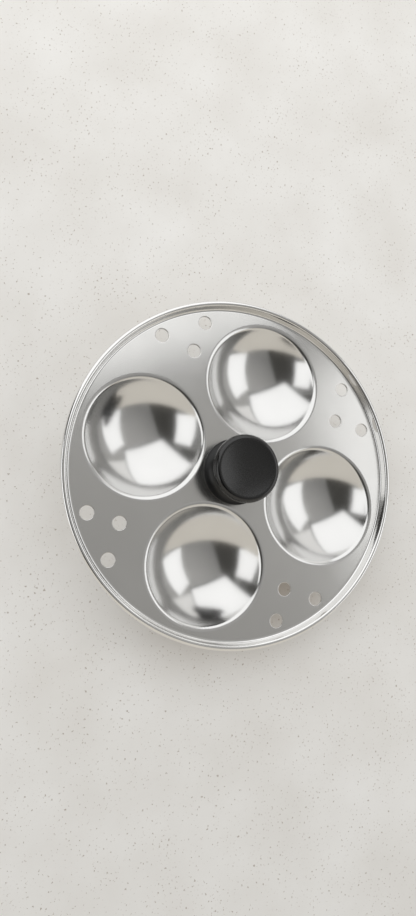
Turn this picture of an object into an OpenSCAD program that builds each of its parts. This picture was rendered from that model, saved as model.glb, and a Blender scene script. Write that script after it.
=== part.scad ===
// Idli plate: one pressed steel disc with four bowls, a rolled rim, steam vents and a lifting knob.
// The plate lies flat with +Z up through the knob. z = 0 is the level that the four bowls stand on,
// and the origin is under the middle of the plate. All sizes are in millimetres.

/* [Sheet] */
// Thickness of the steel sheet, the same everywhere
sheet_t = 0.8; // [0.5:0.1:1]

/* [Rim] */
// Diameter over the rolled rim
plate_d = 211.5; // [210:0.5:230]
// Height of the top of the rim above the flat of the plate
rim_rise = 5.2; // [4:0.1:6]
// Outer radius of the roll at the edge
rim_roll_r = 1.7; // [1.5:0.1:2.4]
// Inner radius of the bend from the flat into the rim wall
rim_bend_r = 1.4; // [1:0.1:2]
// Slope of the rim wall against the flat, in degrees
rim_wall_slope = 75; // [55:1:80]
// How far the edge is rolled round from the top of the wall, in degrees
rim_roll_turn = 265; // [200:5:290]

/* [Bowls] */
// Number of bowls
bowl_count = 4; // [3:1:4]
// Diameter of a bowl where its lip leaves the flat
bowl_d = 76; // [64:0.2:77]
// Depth of a bowl from the flat to the inside of its bottom
bowl_depth = 18.5; // [14:0.5:24]
// Radius of the rounded lip of a bowl, on its upper face
bowl_lip_r = 4; // [2:0.1:5]
// Flat land between a bowl and the bend of the rim
bowl_land = 2.8; // [1:0.1:4]

/* [Steam vents] */
// Diameter of a steam vent
vent_d = 8; // [5:0.5:10]
// Distance between the two outer vents of a group
vent_pair_gap = 29.3; // [20:0.1:34]
// Distance from the outer pair inward to the third vent of a group
vent_step = 14.5; // [12:0.1:20]
// Distance of the third vent of a group off the group's middle line
vent_side = 1.5; // [0:0.1:3]
// Flat land between an outer vent and the bend of the rim
vent_land = 2.9; // [0.5:0.1:4]
// Turn of the first group of vents off the middle between its two bowls, in degrees
group_1_turn = -5.5; // [-8:0.1:8]
// Turn of the second group
group_2_turn = -1; // [-8:0.1:8]
// Turn of the third group
group_3_turn = -1.1; // [-8:0.1:8]
// Turn of the fourth group
group_4_turn = 1.7; // [-8:0.1:8]

/* [Knob] */
// Height of the knob above the plate
knob_h = 21.6; // [18:0.1:30]
// Diameter of the knob's head
knob_head_d = 39.2; // [34:0.2:41]
// Thickness of the head at its edge, without the bead below it
knob_head_t = 4.4; // [3.8:0.1:6]
// Radius of the rounded upper edge of the head
knob_edge_r = 1.5; // [0.8:0.1:1.7]
// Radius of the rounded lower edge of the head
knob_head_low_r = 0.5; // [0.3:0.1:0.6]
// Diameter of the dish in the top of the head
knob_dish_d = 34.2; // [28:0.2:34.4]
// Depth of the dish
knob_dish_depth = 2.2; // [1:0.1:3]
// How far the bead and the groove below the head step in from its edge
knob_bead_step = 0.6; // [0.4:0.1:1.2]
// Height of the groove between head and bead
knob_groove_h = 0.6; // [0.4:0.1:1]
// Height of the bead
knob_bead_h = 1.6; // [1.2:0.1:2.4]
// Diameter of the waist at its narrowest
knob_waist_d = 28.4; // [24:0.2:31]
// Width of the land between the hollow of the waist and the bead
knob_bead_land = 0.3; // [0.2:0.1:0.8]
// Diameter of the flared foot
knob_foot_d = 40.4; // [35:0.2:41.4]
// Thickness of the foot at its edge
knob_foot_h = 1; // [0.8:0.1:2]
// Radius of the rounded edge of the foot
knob_foot_edge_r = 0.5; // [0.3:0.1:0.8]

/* [Fasteners] */
// Nominal diameter of the screw
screw_d = 5; // [4:0.5:6]
// Length of the screw from under its head to its tip
screw_len = 13; // [11:0.5:14]
// Height and depth of the bevel at the tip of the screw
screw_tip = 0.6; // [0.3:0.1:1]
// Diameter of the screw's pan head
screw_head_d = 9.5; // [8:0.5:12]
// Height of the screw's head
screw_head_h = 3.4; // [2.5:0.1:4]
// Radius of the rounded edge of the head
screw_head_edge_r = 1.6; // [0.8:0.1:2]
// Width of the arms of the cross recess
recess_w = 1.1; // [0.8:0.1:1.4]
// Length across the cross recess
recess_len = 5; // [4:0.1:5.5]
// Depth of the cross recess
recess_depth = 1.9; // [1.2:0.1:2.2]
// Clearance on the diameter where the screw passes through
screw_clearance = 0.4; // [0.2:0.1:0.8]
// Clearance on the diameter between the plain shank and the thread bore of the insert
thread_clearance = 0.1; // [0.1:0.05:0.2]
// Wall of the threaded insert
insert_wall = 1.6; // [1.2:0.1:2.5]
// Free depth in the insert beyond the tip of the screw
insert_spare = 2; // [0.5:0.5:3]
// Depth of the two anchor grooves round the insert
insert_groove_depth = 0.5; // [0.3:0.1:0.8]
// Height of each anchor groove
insert_groove_h = 1.6; // [1:0.1:2.4]
// Thickness of the plain washer
washer_t = 1; // [0.8:0.1:1.6]
// Width of the ring of the plain washer
washer_ring = 2.4; // [1.8:0.1:4]
// Thickness of the spring washer
spring_t = 1.2; // [1:0.1:1.6]
// Width of the ring of the spring washer
spring_ring = 1.7; // [1.4:0.1:2]
// Width of the split in the spring washer
spring_split = 1; // [0.6:0.1:1.4]
// Slant of the split, in degrees
spring_slant = 25; // [10:1:35]

/* [Hidden] */
$fn = 144;

// Levels
flat_z = bowl_depth + sheet_t;
flat_bottom_z = flat_z - sheet_t;

// Rim, as a section at the right-hand side with the flat at height 0. Bend, wall and roll follow
// each other tangentially, which sets where the bend starts.
roll_centre = [plate_d / 2 - rim_roll_r, rim_rise - rim_roll_r];
bend_r = roll_centre.x
    - (rim_roll_r + rim_bend_r + (roll_centre.y - rim_bend_r) * cos(rim_wall_slope)) / sin(rim_wall_slope);
bend_centre = [bend_r, rim_bend_r];

// Bowls
bowl_r = bowl_d / 2;
bowl_pitch_r = bend_r - bowl_land - bowl_r;
bowl_step = 360 / bowl_count;
// The sphere is tangent to the rounded lip and touches the depth of the bowl
bowl_sphere_r = (bowl_r * bowl_r + bowl_depth * bowl_depth) / (2 * bowl_depth) - bowl_lip_r;
bowl_slope = asin(bowl_r / (bowl_sphere_r + bowl_lip_r));
sphere_centre = [0, bowl_sphere_r - bowl_depth];
lip_centre = [bowl_r, -bowl_lip_r];
// Widths of the flat rings by which a pressed bowl and the rim run into the disc
bowl_join = bowl_land / 2;
rim_join = min(bowl_land, vent_land) / 2;

// Vents
vent_r = vent_d / 2;
vent_row_r = bend_r - vent_land - vent_r;
vent_half_angle = asin(vent_pair_gap / 2 / vent_row_r);
group_turns = [group_1_turn, group_2_turn, group_3_turn, group_4_turn];

// Knob, measured up from the plate
knob_head_r = knob_head_d / 2;
knob_bead_r = knob_head_r - knob_bead_step;
knob_groove_r = knob_bead_r - knob_bead_step;
knob_dish_r = knob_dish_d / 2;
knob_waist_r = knob_waist_d / 2;
knob_foot_r = knob_foot_d / 2;
knob_head_z = knob_h - knob_head_t;
knob_bead_z = knob_head_z - knob_groove_h - knob_bead_h;
knob_bead_root_r = knob_bead_r - knob_bead_h / 2;
// The hollow of the waist is one arc, from the edge of the foot to the land under the bead. Its depth
// below each of these and the height between them give its narrowest level and its radius.
waist_in_top = knob_bead_root_r - knob_bead_land - knob_waist_r;
waist_in_foot = knob_foot_r - knob_foot_edge_r - knob_waist_r;
waist_h = knob_bead_z - knob_foot_h;
waist_b = 2 * waist_h / waist_in_top;
waist_c = pow(waist_h, 2) / waist_in_top + waist_in_top - waist_in_foot;
waist_up = 2 * waist_c
    / (waist_b + sqrt(pow(waist_b, 2) + 4 * (1 / waist_in_foot - 1 / waist_in_top) * waist_c));
waist_curve_r = (pow(waist_in_foot, 2) + pow(waist_up, 2)) / (2 * waist_in_foot);
dish_sphere_r = (knob_dish_r * knob_dish_r + knob_dish_depth * knob_dish_depth) / (2 * knob_dish_depth);

// Fasteners
screw_hole_r = (screw_d + screw_clearance) / 2;
insert_bore_r = (screw_d + thread_clearance) / 2;
insert_r = insert_bore_r + insert_wall;
washer_r = screw_hole_r + washer_ring;
spring_r = screw_hole_r + spring_ring;
screw_r = screw_d / 2;
screw_head_r = screw_head_d / 2;
spring_top_z = flat_bottom_z - washer_t;
head_top_z = spring_top_z - spring_t;
insert_len = screw_len - (flat_z - head_top_z) + insert_spare;
// How far a cut runs past a face, so that it goes right through
through = 1;
// How far the short chords of an arc may lie from the true curve
arc_error = 0.01;

// Points on an arc about a centre, from angle a to angle b, as fine as arc_error asks
function arc(centre, r, a, b) =
    let (steps = ceil(abs(b - a) / (2 * acos(1 - arc_error / r))))
    [for (i = [0:steps]) let (w = a + (b - a) * i / steps) centre + r * [cos(w), sin(w)]];

// Section of the rim: flat join ring, bend up, straight wall and open roll, out along the upper
// face and back along the lower one
module rim_section() {
    wall_angle = rim_wall_slope + 90;
    polygon(concat(
        [[bend_r - rim_join, -sheet_t], [bend_r - rim_join, 0]],
        arc(bend_centre, rim_bend_r, -90, rim_wall_slope - 90),
        arc(roll_centre, rim_roll_r, wall_angle, wall_angle - rim_roll_turn),
        arc(roll_centre, rim_roll_r - sheet_t, wall_angle - rim_roll_turn, wall_angle),
        arc(bend_centre, rim_bend_r + sheet_t, rim_wall_slope - 90, -90)));
}

// Section of a bowl: spherical bottom and rounded lip, up along the inner face and back down
// the outer one
module bowl_section() {
    polygon(concat(
        arc(sphere_centre, bowl_sphere_r, -90, bowl_slope - 90),
        arc(lip_centre, bowl_lip_r, bowl_slope + 90, 90),
        [[bowl_r + bowl_join, 0], [bowl_r + bowl_join, -sheet_t]],
        arc(lip_centre, bowl_lip_r - sheet_t, 90, bowl_slope + 90),
        arc(sphere_centre, bowl_sphere_r + sheet_t, bowl_slope - 90, -90)));
}

// Centres of the three vents of a group, about its middle line along +X
vent_places = [
    [vent_row_r * cos(vent_half_angle), vent_pair_gap / 2],
    [vent_row_r * cos(vent_half_angle), -vent_pair_gap / 2],
    [vent_row_r * cos(vent_half_angle) - vent_step, -vent_side]
];

module place_bowls() {
    for (i = [0:bowl_count - 1])
        rotate(i * bowl_step)
            translate([bowl_pitch_r, 0, 0])
                children();
}

// Groups of vents lie between the bowls, each punched a little off the middle
module place_vents() {
    for (i = [0:bowl_count - 1])
        rotate((i + 0.5) * bowl_step + group_turns[i])
            for (place = vent_places)
                translate(place)
                    children();
}

// The whole plate is one sheet: flat, rim and bowls have one thickness
module plate() {
    color("silver")
        translate([0, 0, flat_z]) {
            difference() {
                translate([0, 0, -sheet_t])
                    cylinder(h = sheet_t, r = bend_r);
                translate([0, 0, -sheet_t - through]) {
                    cylinder(h = sheet_t + 2 * through, r = screw_hole_r);
                    place_bowls() cylinder(h = sheet_t + 2 * through, r = bowl_r);
                    place_vents() cylinder(h = sheet_t + 2 * through, r = vent_r);
                }
            }
            rotate_extrude() rim_section();
            place_bowls() rotate_extrude() bowl_section();
        }
}

// Half section of a disc on the axis, with its lower and upper edges rounded
module disc_section(r, h, low, high) {
    translate([0, low]) square([r, h - low - high]);
    square([r - low, h - high]);
    translate([0, low]) square([r - high, h - low]);
    if (low > 0) translate([r - low, low]) circle(low);
    if (high > 0) translate([r - high, h - high]) circle(high);
}

// Half section of the knob: foot, hollowed waist, bead, groove and dished head. The waist ends inside
// the bead, and the neck behind the groove runs from inside the bead to inside the head.
module knob_section() {
    disc_section(knob_foot_r, knob_foot_h, 0, knob_foot_edge_r);
    translate([0, knob_foot_h])
        difference() {
            union() {
                square([knob_foot_r, waist_up]);
                square([knob_bead_root_r, waist_h + knob_bead_h / 2]);
            }
            translate([knob_waist_r + waist_curve_r, waist_up])
                circle(waist_curve_r);
        }
    translate([0, knob_bead_z]) {
        square([knob_bead_root_r, knob_bead_h]);
        translate([knob_bead_root_r, knob_bead_h / 2]) circle(knob_bead_h / 2);
        translate([0, knob_bead_h / 2])
            square([knob_groove_r, knob_bead_h / 2 + knob_groove_h + knob_head_low_r]);
    }
    translate([0, knob_head_z])
        difference() {
            disc_section(knob_head_r, knob_head_t, knob_head_low_r, knob_edge_r);
            translate([0, knob_head_t - knob_dish_depth + dish_sphere_r])
                circle(dish_sphere_r);
        }
}

// Outside of the threaded insert, with two grooves that the knob's material fills
module insert_body() {
    difference() {
        cylinder(h = insert_len, r = insert_r);
        for (share = [1, 3])
            translate([0, 0, insert_len * share / 4 - insert_groove_h / 2])
                difference() {
                    cylinder(h = insert_groove_h, r = insert_r + through);
                    translate([0, 0, -through])
                        cylinder(h = insert_groove_h + 2 * through, r = insert_r - insert_groove_depth);
                }
    }
}

// The knob is moulded round its insert, so the insert's outside is its bore
module knob() {
    color("#1c1c1d")
        translate([0, 0, flat_z])
            difference() {
                rotate_extrude() knob_section();
                insert_body();
            }
}

module knob_insert() {
    color("goldenrod")
        translate([0, 0, flat_z])
            difference() {
                insert_body();
                translate([0, 0, -through]) cylinder(h = insert_len + 2 * through, r = insert_bore_r);
            }
}

// Ring that lies under the plate round the screw
module ring(outer_r, height) {
    difference() {
        cylinder(h = height, r = outer_r);
        translate([0, 0, -through]) cylinder(h = height + 2 * through, r = screw_hole_r);
    }
}

module plain_washer() {
    color("gainsboro")
        translate([0, 0, spring_top_z])
            ring(washer_r, washer_t);
}

// The spring washer is pressed flat, and its split slants through the ring
module spring_washer() {
    color("darkgray")
        translate([0, 0, head_top_z])
            difference() {
                ring(spring_r, spring_t);
                translate([0, 0, spring_t / 2])
                    rotate([spring_slant, 0, 0])
                        translate([0, -spring_split / 2, -2 * spring_t])
                            cube([spring_r + through, spring_split, 4 * spring_t]);
            }
}

// Pan head screw from beneath, with a cross recess in its head and a bevelled tip
module knob_screw() {
    color("lightgray")
        translate([0, 0, head_top_z]) {
            cylinder(h = screw_len - screw_tip, r = screw_r);
            translate([0, 0, screw_len - screw_tip])
                cylinder(h = screw_tip, r1 = screw_r, r2 = screw_r - screw_tip);
            translate([0, 0, -screw_head_h])
                difference() {
                    rotate_extrude()
                        disc_section(screw_head_r, screw_head_h, screw_head_edge_r, 0);
                    for (turn = [0, 90])
                        rotate(turn)
                            translate([-recess_len / 2, -recess_w / 2, -through])
                                cube([recess_len, recess_w, recess_depth + through]);
                }
        }
}

plate();
knob();
knob_insert();
plain_washer();
spring_washer();
knob_screw();
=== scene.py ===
"""Looks of the idli plate: detailed meshes, finishes, floor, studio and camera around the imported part.

Lengths are in metres, in the part's own frame: +Z up along the knob, z = 0 under the four bowls.
"""
import math

import bmesh
import bpy
from mathutils import Matrix, Vector
from mathutils.geometry import tessellate_polygon


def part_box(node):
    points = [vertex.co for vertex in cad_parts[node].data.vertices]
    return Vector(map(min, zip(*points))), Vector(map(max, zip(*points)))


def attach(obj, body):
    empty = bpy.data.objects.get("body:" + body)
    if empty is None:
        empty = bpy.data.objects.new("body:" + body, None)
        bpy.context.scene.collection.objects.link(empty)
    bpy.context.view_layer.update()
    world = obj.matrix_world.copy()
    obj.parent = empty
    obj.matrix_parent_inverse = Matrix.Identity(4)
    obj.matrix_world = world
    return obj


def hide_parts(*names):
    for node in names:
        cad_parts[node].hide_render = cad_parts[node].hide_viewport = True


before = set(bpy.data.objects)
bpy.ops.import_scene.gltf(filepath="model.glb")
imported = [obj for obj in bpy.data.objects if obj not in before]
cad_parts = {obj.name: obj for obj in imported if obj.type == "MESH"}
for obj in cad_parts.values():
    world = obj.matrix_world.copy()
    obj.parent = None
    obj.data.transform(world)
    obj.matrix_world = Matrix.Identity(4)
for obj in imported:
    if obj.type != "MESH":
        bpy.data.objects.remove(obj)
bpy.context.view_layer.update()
MM = 0.001

# Driving sizes of the sheet
SHEET = 0.8 * MM
RIM_RISE = 5.2 * MM
ROLL_R = 1.7 * MM
BEND_R = 1.4 * MM
WALL_SLOPE = 75
ROLL_TURN = 265
BOWL_COUNT = 4
BOWL_R = 38 * MM
BOWL_DEPTH = 18.5 * MM
LIP_R = 4 * MM
BOWL_LAND = 2.8 * MM
VENT_R = 4.0 * MM
VENT_PAIR_GAP = 29.3 * MM
VENT_STEP = 14.5 * MM
VENT_SIDE = 1.5 * MM
VENT_LAND = 2.9 * MM
VENT_EDGE_R = 0.45 * MM
GROUP_TURNS = (-5.5, -1, -1.1, 1.7)
SCREW_HOLE_R = 2.7 * MM
# Width of the flat rings that keep the rounded parts' shading off the flat
JOIN = 0.3 * MM

PLATE_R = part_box("plate")[1].x
FLAT_Z = BOWL_DEPTH + SHEET

# Where the bend of the rim starts, and the spheres of the bowls
ROLL_CENTRE = (PLATE_R - ROLL_R, RIM_RISE - ROLL_R)
WALL = math.radians(WALL_SLOPE)
WALL_RUN = (ROLL_R + BEND_R + (ROLL_CENTRE[1] - BEND_R) * math.cos(WALL)) / math.sin(WALL)
BEND_START = ROLL_CENTRE[0] - WALL_RUN
BEND_CENTRE = (BEND_START, BEND_R)
PITCH_R = BEND_START - BOWL_LAND - BOWL_R
SPHERE_R = (BOWL_R ** 2 + BOWL_DEPTH ** 2) / (2 * BOWL_DEPTH) - LIP_R
SPHERE_CENTRE = (0, SPHERE_R - BOWL_DEPTH)
BOWL_SLOPE = math.degrees(math.asin(BOWL_R / (SPHERE_R + LIP_R)))
VENT_ROW_R = BEND_START - VENT_LAND - VENT_R
VENT_HALF_ANGLE = math.asin(VENT_PAIR_GAP / 2 / VENT_ROW_R)

# Faces round each turned part of the sheet, and along its arcs. The underside has fewer.
RIM_SIDES = 384
BOWL_SIDES = 160
HOLE_SIDES = 48
BEND_STEPS = 10
ROLL_STEPS, ROLL_UNDER_STEPS = 40, 24
LIP_STEPS, LIP_UNDER_STEPS = 14, 10
SPHERE_STEPS, SPHERE_UNDER_STEPS = 36, 26
VENT_EDGE_STEPS = 5

# Sizes of the knob, measured up from the plate
KNOB_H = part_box("knob")[1].z - FLAT_Z
HEAD_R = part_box("knob")[1].x
HEAD_T = 4.4 * MM
SHOULDER_H = 3.4 * MM
HEAD_LOW_R = 0.5 * MM
DISH_R = 17.1 * MM
DISH_DEPTH = 2.2 * MM
DISH_EDGE_R = 0.2 * MM
BEAD_STEP = 0.6 * MM
BEAD_H = 1.6 * MM
BEAD_END = 76
GROOVE_H = 0.6 * MM
BEAD_LAND = 0.3 * MM
WAIST_R = 14.2 * MM
FOOT_R = 20.2 * MM
FOOT_H = 1.0 * MM
FOOT_EDGE_R = 0.5 * MM
INSERT_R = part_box("knob_insert")[1].x
INSERT_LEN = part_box("knob_insert")[1].z - FLAT_Z
INSERT_GROOVE = 0.5 * MM
INSERT_GROOVE_H = 1.6 * MM
# Middles of the insert's two grooves, as shares of its length
INSERT_GROOVES = (0.25, 0.75)

# Faces round the knob, and along its arcs
KNOB_SIDES = 192
FOOT_STEPS = 8
WAIST_STEPS = 44
BEAD_STEPS = 16
HEAD_LOW_STEPS = 6
SHOULDER_STEPS = 20
DISH_EDGE_STEPS = 3
DISH_STEPS = 24

# A point nearer to the axis than this is on it, and an edge is sharp from this angle on
ON_AXIS = 1e-7
SHARP_ANGLE = math.radians(35)

# Camera of the photograph, and how far it looks down in its room
VIEW_TARGET = Vector((1.72, 19.03, 19.3)) * MM
VIEW_DISTANCE = 432.6 * MM
VIEW_AZIMUTH = math.radians(130.37)
VIEW_ELEVATION = math.radians(69.75)
VIEW_TURN = math.radians(69.46)
VIEW_LENS = 28.263
VIEW_SENSOR = 36
VIEW_PITCH = math.radians(15)

# The camera's axes
BACK = Vector((math.cos(VIEW_ELEVATION) * math.cos(VIEW_AZIMUTH),
               math.cos(VIEW_ELEVATION) * math.sin(VIEW_AZIMUTH), math.sin(VIEW_ELEVATION)))
LEVEL_RIGHT = Vector((0, 0, 1)).cross(BACK).normalized()
LEVEL_UP = BACK.cross(LEVEL_RIGHT)
RIGHT = math.cos(VIEW_TURN) * LEVEL_RIGHT + math.sin(VIEW_TURN) * LEVEL_UP
UP = BACK.cross(RIGHT)

# The photograph's room, seen from the plate: right, to the front where the camera is, and up
ROOM_RIGHT = RIGHT
ROOM_FRONT = math.cos(VIEW_PITCH) * BACK - math.sin(VIEW_PITCH) * UP
ROOM_UP = math.cos(VIEW_PITCH) * UP + math.sin(VIEW_PITCH) * BACK


def room_direction(azimuth, elevation):
    """Direction in the room: azimuth to the right of the front and elevation, both in degrees."""
    a, e = math.radians(azimuth), math.radians(elevation)
    return math.cos(e) * (math.sin(a) * ROOM_RIGHT + math.cos(a) * ROOM_FRONT) + math.sin(e) * ROOM_UP


def in_room(rightward, forward, upward):
    """Place in the room, seen from the middle of the plate."""
    return rightward * ROOM_RIGHT + forward * ROOM_FRONT + upward * ROOM_UP


# The floor's stone. A speck shows where the fine noise is above a level that the larger noise moves.
FLOOR_HALF = 4.0
STONE_DULL = (0.84, 0.815, 0.77)
STONE_CLEAR = (0.93, 0.915, 0.88)
STONE_CLOUDS = 60 * MM
SPECK = (0.36, 0.29, 0.23)
SPECK_SIZE = 1.5 * MM
SPECK_FROM = (0.95, 0.82)
SPECK_FULL = 1.05
PATCH_SIZE = 25 * MM
# Share of the floor's colour that is light of its own
FLOOR_LIFT = 0.5
# The floor's shade round the plate is painted into the colour of its own light
# Shade round the plate: its colour, how far it reaches, the side of the plate on which it is strongest,
# and its growth to full strength over a distance towards that side
SHADE = (0.2, 0.15, 0.1)
SHADE_REACH = 60 * MM
SHADE_SIDE = 0.45 * RIGHT - 0.9 * UP
SHADE_LEAST = 0.1
SHADE_GROWTH = 80 * MM

# The surroundings. Each part lies between two great circles, given by two spots on the circle and one on
# the part's side of it, as azimuth and elevation in the room. The dark part is to the right of the left
# card and darkest at its foot, and the gap is a dark strip over that card.
WALL_LOW = (0.23, 0.228, 0.221)
WALL_HIGH = (0.42, 0.414, 0.40)
WALL_BRIGHTEST = room_direction(75, 35)
WALL_SPREAD = (0.3, 0.9)
DARK_HIGH = (0.115, 0.112, 0.104)
DARK_LOW = (0.058, 0.056, 0.051)
CEILING = (0.92, 0.91, 0.89)
BACKDROP = (0.82, 0.81, 0.79)
DARK_PART = (((-28, 60), (-28, -60), (0, 0)), ((-2, 30), (13.5, -20), (-10, 0)))
GAP_PART = (((-44, 60), (-44, -60), (-60, 0)), ((-90, 28), (0, 28), (-45, 60)))
CEILING_PART = (((-7, 34), (60, 49), (0, 80)), ((-7, 34), (-55, 53), (0, 80)))
PART_BLUR = 0.03
DARKEST_SIDE = ((-90, -4), (90, -4), (0, -60))
DARKEST_BLUR = 0.3

# The cards: a large one overhead, two upright ones and one in front
WHITE = 1.22
WHITE_LIGHT = (1, 1, 0.995)
BEIGE = (0.69, 0.652, 0.585)
OVERHEAD_CORNER = 0.48 * room_direction(-9.5, 26)
OVERHEAD_SIDES = (in_room(0.893, -0.373, 0.251), in_room(-0.727, -0.284, 0.626))
OVERHEAD_OUTLINE = ((0, 0), (0.54, 0), (1.56, 1.2), (0, 1.2))
OVERHEAD_FEATHER = 0.05
# Name, distance, and the directions of the corners
UPRIGHT_CARDS = (("left_card", 0.9, ((-28, -8), (-28, 31), (-58, 31), (-58, -7))),
                 ("right_card", 0.6, ((56, -17), (57, 31), (90, 34), (90, -13))))
FRONT_LEFT = in_room(-0.41, 0.36, -0.055)
FRONT_RIGHT = in_room(0.61, 0.304, -0.223)
FRONT_NEAR = in_room(0.013, 0.036, -0.099)


def link(thing):
    bpy.context.scene.collection.objects.link(thing)
    return thing


def make_camera():
    camera = link(bpy.data.objects.new("camera", bpy.data.cameras.new("camera")))
    turn = Matrix((RIGHT, UP, BACK)).transposed().to_4x4()
    camera.matrix_world = Matrix.Translation(VIEW_TARGET + VIEW_DISTANCE * BACK) @ turn
    camera.data.lens = VIEW_LENS
    camera.data.sensor_width = VIEW_SENSOR
    bpy.context.scene.camera = camera


# Shader nodes

# Sockets of a Mix node that mixes colours
MIX_SHARE, MIX_A, MIX_B, MIX_RESULT = 0, 6, 7, 2
# Most of a noise node's values lie between these
NOISE_LOW, NOISE_HIGH = 0.3, 0.7


def node(tree, kind, inputs=None, **settings):
    """Adds a shader node. An input is a value, or the output of another node."""
    made = tree.nodes.new("ShaderNode" + kind)
    for name, value in settings.items():
        setattr(made, name, value)
    for socket, value in (inputs or {}).items():
        if isinstance(value, bpy.types.NodeSocket):
            tree.links.new(value, made.inputs[socket])
        else:
            made.inputs[socket].default_value = value
    return made


def calc(tree, operation, a, b):
    return node(tree, "Math", {0: a, 1: b}, operation=operation).outputs[0]


def dot(tree, a, b):
    return node(tree, "VectorMath", {0: a, 1: b}, operation="DOT_PRODUCT").outputs["Value"]


def remap(tree, value, low, high, to_low=0.0, to_high=1.0, curve="LINEAR"):
    """The value's range from low to high, carried over to the range from to_low to to_high."""
    ranges = {"Value": value, "From Min": low, "From Max": high, "To Min": to_low, "To Max": to_high}
    return node(tree, "MapRange", ranges, interpolation_type=curve).outputs["Result"]


def mix(tree, share, a, b):
    """Colour a where share is 0, and b where it is 1."""
    colours = [value if isinstance(value, bpy.types.NodeSocket) else (*value, 1) for value in (a, b)]
    inputs = {MIX_SHARE: share, MIX_A: colours[0], MIX_B: colours[1]}
    return node(tree, "Mix", inputs, data_type="RGBA").outputs[MIX_RESULT]


def noise(tree, place, size, detail, low=0.0, high=1.0):
    """Even noise whose spots are about size across, spread from low to high."""
    made = node(tree, "TexNoise", {"Vector": place, "Scale": 1 / size, "Detail": detail})
    return remap(tree, made.outputs["Fac"], NOISE_LOW, NOISE_HIGH, low, high)


def material(name, **sockets):
    """A material with a Principled shader: its tree, the shader and the object's own coordinates."""
    made = bpy.data.materials.new(name)
    made.use_nodes = True
    tree = made.node_tree
    shader = tree.nodes["Principled BSDF"]
    for socket, value in sockets.items():
        shader.inputs[socket].default_value = value
    return made, tree, shader, node(tree, "TexCoord").outputs["Object"]


def surface(tree, glow):
    tree.links.new(glow, tree.nodes["Material Output"].inputs["Surface"])


# Finishes

def cloudy(name, clouds, shades, gloss, roughness, grain=None, **sockets):
    """A finish whose colour and gloss drift. Clouds and gloss are the size and detail of the noise
    between the two shades and the two roughnesses, and grain is the size, detail and depth of a bump."""
    made, tree, shader, place = material(name, **sockets)
    tree.links.new(mix(tree, noise(tree, place, *clouds), *shades), shader.inputs["Base Color"])
    tree.links.new(noise(tree, place, *gloss, *roughness), shader.inputs["Roughness"])
    if grain:
        size, detail, depth = grain
        bump = node(tree, "Bump", {"Height": noise(tree, place, size, detail), "Distance": depth,
                                   "Strength": 1.0})
        tree.links.new(bump.outputs["Normal"], shader.inputs["Normal"])
    return made


def satin_steel():
    """Rolled sheet: a fine even grain and faint cloudy differences in gloss."""
    return cloudy("satin_steel", clouds=(30 * MM, 3), shades=((0.70, 0.695, 0.68), (0.73, 0.725, 0.71)),
                  gloss=(12 * MM, 4), roughness=(0.20, 0.23), grain=(0.25 * MM, 2, 0.0005 * MM),
                  Metallic=1.0)


def polished_steel(name, shade, roughness):
    """Buffed steel of the bowls and the rim, about as light as the shade."""
    shades = [(level, level - 0.003, level - 0.01) for level in (shade - 0.015, shade + 0.015)]
    return cloudy(name, clouds=(18 * MM, 3), shades=shades, gloss=(9 * MM, 3), roughness=roughness,
                  Metallic=1.0)


def phenolic(name, ior, roughness, grain, depth):
    """Black thermoset: almost neutral, with a moulded grain of the given size and depth."""
    return cloudy(name, clouds=(6 * MM, 3), shades=((0.0015, 0.0015, 0.0017), (0.003, 0.003, 0.0033)),
                  gloss=(1.5 * MM, 3), roughness=roughness, grain=(grain, 3, depth), IOR=ior)


def zinc_plate():
    """Bright zinc plate, slightly cloudy."""
    return cloudy("zinc_plate", clouds=(2 * MM, 3), shades=((0.60, 0.61, 0.63), (0.70, 0.71, 0.72)),
                  gloss=(0.7 * MM, 3), roughness=(0.2, 0.34), Metallic=1.0)


def turned_brass():
    """Turned brass with fine lathe rings round the axis."""
    made, tree, shader, place = material("turned_brass", Metallic=1.0)
    rings = node(tree, "TexWave", {"Vector": place, "Scale": 1 / (0.9 * MM), "Distortion": 0.3},
                 bands_direction="Z").outputs["Fac"]
    tree.links.new(mix(tree, rings, (0.76, 0.58, 0.28), (0.82, 0.65, 0.36)), shader.inputs["Base Color"])
    tree.links.new(noise(tree, place, 0.8 * MM, 2, low=0.24, high=0.34), shader.inputs["Roughness"])
    return made


# Meshes

def arc(centre, radius, start, end, steps):
    """Points of a section on an arc, as (distance from the axis, height), angles in degrees."""
    angles = [math.radians(start + (end - start) * i / steps) for i in range(steps + 1)]
    return [(centre[0] + radius * math.cos(a), centre[1] + radius * math.sin(a)) for a in angles]


def lifted(section, height):
    return [(r, z + height) for r, z in section]


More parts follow.
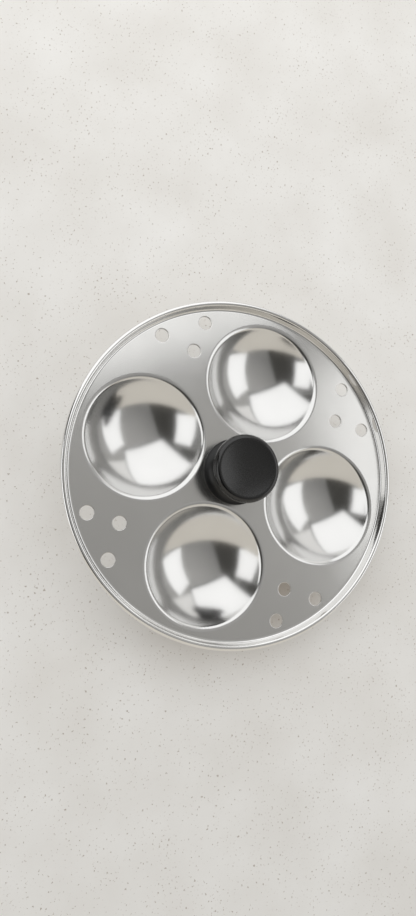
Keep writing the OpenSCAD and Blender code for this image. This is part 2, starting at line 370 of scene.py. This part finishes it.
class Skin:
    """Collects rings of points and the faces between them."""

    def __init__(self):
        self.points = []
        self.faces = []
        self.finishes = []

    def face(self, corners, finish):
        self.faces.append(tuple(corners))
        self.finishes.append(finish)

    def ring(self, centre, radius, height, count):
        start = len(self.points)
        for i in range(count):
            a = 2 * math.pi * i / count
            self.points.append((centre[0] + radius * math.cos(a), centre[1] + radius * math.sin(a), height))
        return list(range(start, start + count))

    def join(self, ring_a, ring_b, finish):
        for i in range(len(ring_a)):
            j = (i + 1) % len(ring_a)
            self.face((ring_a[i], ring_a[j], ring_b[j], ring_b[i]), finish)

    def revolve(self, centre, section, count, finish):
        """Faces swept by a section about an upright axis. Returns its first and last ring. A section
        that ends on the axis closes there."""
        first = previous = None
        for radius, height in section:
            if radius < ON_AXIS:
                pole = len(self.points)
                self.points.append((*centre, height))
                for i in range(count):
                    self.face((previous[i], previous[(i + 1) % count], pole), finish)
                return first, None
            current = self.ring(centre, radius, height, count)
            if previous:
                self.join(previous, current, finish)
            first = first or current
            previous = current
        return first, previous

    def fill(self, loops, finish):
        """Flat face inside the first loop and outside all others."""
        flat = [i for loop in loops for i in loop]
        outlines = [[Vector(self.points[i]) for i in loop] for loop in loops]
        for corners in tessellate_polygon(outlines):
            self.face([flat[i] for i in corners], finish)

    def build(self, name, materials):
        mesh = bpy.data.meshes.new(name)
        mesh.from_pydata(self.points, [], self.faces)
        for made in materials:
            mesh.materials.append(made)
        mesh.polygons.foreach_set("material_index", self.finishes)
        work = bmesh.new()
        work.from_mesh(mesh)
        bmesh.ops.recalc_face_normals(work, faces=work.faces)
        work.to_mesh(mesh)
        work.free()
        mesh.shade_smooth()
        mesh.set_sharp_from_angle(angle=SHARP_ANGLE)
        return link(bpy.data.objects.new(name, mesh))


def bowl_places():
    angles = [2 * math.pi * i / BOWL_COUNT for i in range(BOWL_COUNT)]
    return [(PITCH_R * math.cos(a), PITCH_R * math.sin(a)) for a in angles]


def vent_places():
    """Three vents between each two bowls. Each group is punched a little off the middle."""
    row = VENT_ROW_R * math.cos(VENT_HALF_ANGLE)
    group = [(row, VENT_PAIR_GAP / 2), (row, -VENT_PAIR_GAP / 2), (row - VENT_STEP, -VENT_SIDE)]
    places = []
    for i, group_turn in enumerate(GROUP_TURNS):
        turn = 2 * math.pi * (i + 0.5) / BOWL_COUNT + math.radians(group_turn)
        c, s = math.cos(turn), math.sin(turn)
        places += [(c * x - s * y, s * x + c * y) for x, y in group]
    return places


def make_plate():
    """The pressed sheet: flat, four bowls, rolled rim, vents and screw hole, in one closed skin."""
    satin, polished, bright = 0, 1, 2
    skin = Skin()
    upper, lower = [], []

    # Rim, from the upper flat out along the roll and back under it
    wall = WALL_SLOPE + 90
    section = [(BEND_START - JOIN, 0)]
    section += arc(BEND_CENTRE, BEND_R, -90, WALL_SLOPE - 90, BEND_STEPS)
    section += arc(ROLL_CENTRE, ROLL_R, wall, wall - ROLL_TURN, ROLL_STEPS)
    section += arc(ROLL_CENTRE, ROLL_R - SHEET, wall - ROLL_TURN, wall, ROLL_UNDER_STEPS)
    section += arc(BEND_CENTRE, BEND_R + SHEET, WALL_SLOPE - 90, -90, BEND_STEPS)
    section += [(BEND_START - JOIN, -SHEET)]
    top, bottom = skin.revolve((0, 0), lifted(section, FLAT_Z), RIM_SIDES, bright)
    upper.append(top)
    lower.append(bottom)

    # Bowls: the inner and the outer face each end on the bowl's axis
    lip_centre = (BOWL_R, -LIP_R)
    inner = [(BOWL_R + JOIN, 0)] + arc(lip_centre, LIP_R, 90, BOWL_SLOPE + 90, LIP_STEPS)
    inner += arc(SPHERE_CENTRE, SPHERE_R, BOWL_SLOPE - 90, -90, SPHERE_STEPS)[1:]
    outer = [(BOWL_R + JOIN, -SHEET)] + arc(lip_centre, LIP_R - SHEET, 90, BOWL_SLOPE + 90, LIP_UNDER_STEPS)
    outer += arc(SPHERE_CENTRE, SPHERE_R + SHEET, BOWL_SLOPE - 90, -90, SPHERE_UNDER_STEPS)[1:]
    for place in bowl_places():
        upper.append(skin.revolve(place, lifted(inner, FLAT_Z), BOWL_SIDES, polished)[0])
        lower.append(skin.revolve(place, lifted(outer, FLAT_Z), BOWL_SIDES, polished)[0])

    # Vents, with the drawn-in upper edge that a punch leaves
    vent = [(VENT_R + VENT_EDGE_R + JOIN, 0)]
    vent += arc((VENT_R + VENT_EDGE_R, -VENT_EDGE_R), VENT_EDGE_R, 90, 180, VENT_EDGE_STEPS)
    vent += [(VENT_R, -SHEET), (VENT_R + JOIN, -SHEET)]
    for place in vent_places():
        top, bottom = skin.revolve(place, lifted(vent, FLAT_Z), HOLE_SIDES, satin)
        upper.append(top)
        lower.append(bottom)

    hole = [(SCREW_HOLE_R + JOIN, 0), (SCREW_HOLE_R, 0)]
    hole += [(SCREW_HOLE_R, -SHEET), (SCREW_HOLE_R + JOIN, -SHEET)]
    top, bottom = skin.revolve((0, 0), lifted(hole, FLAT_Z), HOLE_SIDES, satin)
    skin.fill(upper + [top], satin)
    skin.fill(lower + [bottom], satin)
    plate = skin.build("steel_plate", [
        satin_steel(),
        polished_steel("polished_steel", shade=0.745, roughness=(0.15, 0.19)),
        polished_steel("bright_steel", shade=0.84, roughness=(0.06, 0.09))])
    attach(plate, "root")
    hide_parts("plate")


def make_knob():
    """The moulded knob: grained dish, smooth shoulder and bead, matt waist and foot, insert's cavity."""
    grained, smooth, matt = 0, 1, 2
    head_z = KNOB_H - HEAD_T
    bead_z = head_z - GROOVE_H - BEAD_H
    bead_r = HEAD_R - BEAD_STEP
    root_r = bead_r - BEAD_H / 2
    # The hollow of the waist is one arc, from the edge of the foot to the land under the bead
    in_top = root_r - BEAD_LAND - WAIST_R
    in_foot = FOOT_R - FOOT_EDGE_R - WAIST_R
    height = bead_z - FOOT_H
    b, c = 2 * height / in_top, height ** 2 / in_top + in_top - in_foot
    waist_up = 2 * c / (b + math.sqrt(b ** 2 + 4 * (1 / in_foot - 1 / in_top) * c))
    waist_curve = (in_foot ** 2 + waist_up ** 2) / (2 * in_foot)
    waist_centre = (WAIST_R + waist_curve, FOOT_H + waist_up)
    foot_angle = math.degrees(math.asin(waist_up / waist_curve))
    bead_angle = math.degrees(math.asin((height - waist_up) / waist_curve))
    dish_sphere = (DISH_R ** 2 + DISH_DEPTH ** 2) / (2 * DISH_DEPTH)
    dish_slope = math.degrees(math.asin(DISH_R / dish_sphere))

    waist = [(INSERT_R + JOIN, 0), (FOOT_R - JOIN, 0), (FOOT_R, JOIN)]
    waist += arc((FOOT_R - FOOT_EDGE_R, FOOT_H - FOOT_EDGE_R), FOOT_EDGE_R, 0, 90, FOOT_STEPS)
    waist += arc(waist_centre, waist_curve, 180 + foot_angle, 180 - bead_angle, WAIST_STEPS)
    head = arc((root_r, bead_z + BEAD_H / 2), BEAD_H / 2, -90, BEAD_END, BEAD_STEPS)
    head += [(bead_r - BEAD_STEP, head_z)]
    head += arc((HEAD_R - HEAD_LOW_R, head_z + HEAD_LOW_R), HEAD_LOW_R, -90, 0, HEAD_LOW_STEPS)
    # The shoulder is a quarter of an ellipse, from the side of the head up to the edge of the dish
    shoulder_w = HEAD_R - DISH_R - DISH_EDGE_R
    for distance, rise in arc((0, 0), 1, 0, 90, SHOULDER_STEPS):
        head.append((DISH_R + DISH_EDGE_R + shoulder_w * distance, KNOB_H - SHOULDER_H + SHOULDER_H * rise))
    dish_edge = (DISH_R + DISH_EDGE_R, KNOB_H - DISH_EDGE_R)
    head += arc(dish_edge, DISH_EDGE_R, 90, 90 + dish_slope, DISH_EDGE_STEPS)[1:]
    dish = arc((0, KNOB_H - DISH_DEPTH + dish_sphere), dish_sphere, dish_slope - 90, -90, DISH_STEPS)
    skin = Skin()
    _, land = skin.revolve((0, 0), lifted(waist, FLAT_Z), KNOB_SIDES, matt)
    bead, rim = skin.revolve((0, 0), lifted(head, FLAT_Z), KNOB_SIDES, smooth)
    start, _ = skin.revolve((0, 0), lifted(dish, FLAT_Z), KNOB_SIDES, grained)
    skin.join(land, bead, smooth)
    skin.join(rim, start, smooth)

    cavity = [(INSERT_R + JOIN, 0), (INSERT_R, 0)]
    for share in INSERT_GROOVES:
        middle = INSERT_LEN * share
        low_z, high_z = middle - INSERT_GROOVE_H / 2, middle + INSERT_GROOVE_H / 2
        cavity += [(INSERT_R, low_z), (INSERT_R - INSERT_GROOVE, low_z)]
        cavity += [(INSERT_R - INSERT_GROOVE, high_z), (INSERT_R, high_z)]
    cavity += [(INSERT_R, INSERT_LEN), (0, INSERT_LEN)]
    skin.revolve((0, 0), lifted(cavity, FLAT_Z), KNOB_SIDES, smooth)
    knob = skin.build("phenolic_knob", [
        phenolic("grained_phenolic", ior=1.63, roughness=(0.24, 0.29), grain=0.35 * MM, depth=0.012 * MM),
        phenolic("smooth_phenolic", ior=1.63, roughness=(0.15, 0.20), grain=0.5 * MM, depth=0.001 * MM),
        phenolic("matt_phenolic", ior=1.5, roughness=(0.32, 0.38), grain=0.5 * MM, depth=0.002 * MM)])
    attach(knob, "root")
    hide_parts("knob")


def finish_fasteners():
    """The hidden brass insert and the washers and screw under the plate keep the part's own meshes."""
    zinc = zinc_plate()
    for name, made in (("knob_insert", turned_brass()), ("plain_washer", zinc), ("spring_washer", zinc),
                       ("knob_screw", zinc)):
        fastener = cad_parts[name]
        fastener.data.materials.clear()
        fastener.data.materials.append(made)


# Floor and studio

def make_floor():
    """Pale stone. The camera sees part of its colour as light of its own, so its shadows stay soft."""
    bpy.ops.mesh.primitive_plane_add(size=2 * FLOOR_HALF)
    floor = bpy.context.object
    floor.name = "floor"
    made, tree, shader, place = material("pale_stone", Roughness=0.6)
    colour = mix(tree, noise(tree, place, STONE_CLOUDS, 5), STONE_DULL, STONE_CLEAR)
    specks = noise(tree, place, SPECK_SIZE, 2)
    patches = noise(tree, place, PATCH_SIZE, 2, *SPECK_FROM)
    colour = mix(tree, remap(tree, specks, patches, SPECK_FULL), colour, SPECK)
    tree.links.new(colour, shader.inputs["Base Color"])
    path = node(tree, "LightPath").outputs
    seen = calc(tree, "MAXIMUM", path["Is Camera Ray"], path["Is Glossy Ray"])
    seen = calc(tree, "MAXIMUM", seen, path["Is Transmission Ray"])
    share = calc(tree, "MULTIPLY", seen, FLOOR_LIFT)
    # That light fades round the plate, most on the side that touches the ground in the photograph
    # Painted shade: the floor's own light is darkened where the plate covers it, and more towards one side
    open_air = node(tree, "AmbientOcclusion", {"Distance": SHADE_REACH}).outputs["AO"]
    covered = calc(tree, "SUBTRACT", 1.0, open_air)
    near = remap(tree, dot(tree, place, SHADE_SIDE), 0.0, SHADE_GROWTH, SHADE_LEAST, 1.0)
    shaded = mix(tree, calc(tree, "MULTIPLY", covered, near), colour, SHADE)
    glow = node(tree, "Emission", {"Color": shaded}).outputs[0]
    surface(tree, node(tree, "MixShader", {0: share, 1: shader.outputs[0], 2: glow}).outputs[0])
    floor.data.materials.append(made)


def make_world():
    """What stands round the plate: a grey wall with a dark part, and white overhead."""
    world = bpy.data.worlds.new("studio")
    bpy.context.scene.world = world
    world.use_nodes = True
    tree = world.node_tree
    direction = node(tree, "TexCoord").outputs["Generated"]

    def beyond(spot_a, spot_b, inside, blur=PART_BLUR):
        """1 on that side of the great circle through two spots on which the spot inside lies, else 0."""
        normal = room_direction(*spot_a).cross(room_direction(*spot_b)).normalized()
        if normal.dot(room_direction(*inside)) < 0:
            normal = -normal
        return remap(tree, dot(tree, direction, normal), -blur, blur, curve="SMOOTHSTEP")

    def between(sides):
        """1 where both of a part's sides are, else 0."""
        return calc(tree, "MULTIPLY", *(beyond(*side) for side in sides))

    wall = mix(tree, remap(tree, dot(tree, direction, WALL_BRIGHTEST), *WALL_SPREAD), WALL_LOW, WALL_HIGH)
    dark = mix(tree, beyond(*DARKEST_SIDE, DARKEST_BLUR), DARK_HIGH, DARK_LOW)
    colour = mix(tree, between(DARK_PART), wall, dark)
    colour = mix(tree, between(GAP_PART), colour, DARK_LOW)
    colour = mix(tree, between(CEILING_PART), colour, CEILING)
    colour = mix(tree, node(tree, "LightPath").outputs["Is Camera Ray"], colour, BACKDROP)
    tree.links.new(colour, tree.nodes["Background"].inputs["Color"])


def faded(tree, place, corners, feather, strength):
    """The strength within a flat outline, less over the feather along each of its edges."""
    middle = sum(corners, Vector()) / len(corners)
    for i, corner in enumerate(corners):
        along = (corners[i - 1] - corner).normalized()
        inward = middle - corner
        inward = (inward - inward.dot(along) * along).normalized()
        offset = node(tree, "VectorMath", {0: place, 1: corner}, operation="SUBTRACT").outputs[0]
        share = remap(tree, dot(tree, offset, inward), 0.0, feather, curve="SMOOTHSTEP")
        strength = calc(tree, "MULTIPLY", strength, share)
    return strength


def card(name, colour, strength, corners, feather=None):
    """A flat card that gives light and that the camera doesn't see."""
    finish, tree, _, place = material(name)
    if feather:
        strength = faded(tree, place, corners, feather, strength)
    surface(tree, node(tree, "Emission", {"Color": (*colour, 1), "Strength": strength}).outputs[0])
    mesh = bpy.data.meshes.new(name)
    mesh.from_pydata([tuple(corner) for corner in corners], [], [range(len(corners))])
    mesh.materials.append(finish)
    made = link(bpy.data.objects.new(name, mesh))
    made.visible_camera = False
    return made


def make_cards():
    """Upright white cards left and right, a large one overhead whose corner hangs in view, and a beige
    one in front of the plate that only reflections show."""
    side_a, side_b = OVERHEAD_SIDES
    overhead = [OVERHEAD_CORNER + a * side_a + b * side_b for a, b in OVERHEAD_OUTLINE]
    card("overhead_card", WHITE_LIGHT, WHITE, overhead, OVERHEAD_FEATHER)
    for name, distance, spots in UPRIGHT_CARDS:
        card(name, WHITE_LIGHT, WHITE, [distance * room_direction(*spot) for spot in spots])
    half = (FRONT_RIGHT - FRONT_LEFT) / 2
    front = card("front_card", BEIGE, 1.0, (FRONT_LEFT, FRONT_RIGHT, FRONT_NEAR + half, FRONT_NEAR - half))
    front.visible_diffuse = False
    front.visible_shadow = False


make_camera()
make_plate()
make_knob()
finish_fasteners()
make_floor()
make_world()
make_cards()
bpy.context.scene.view_settings.view_transform = "Standard"
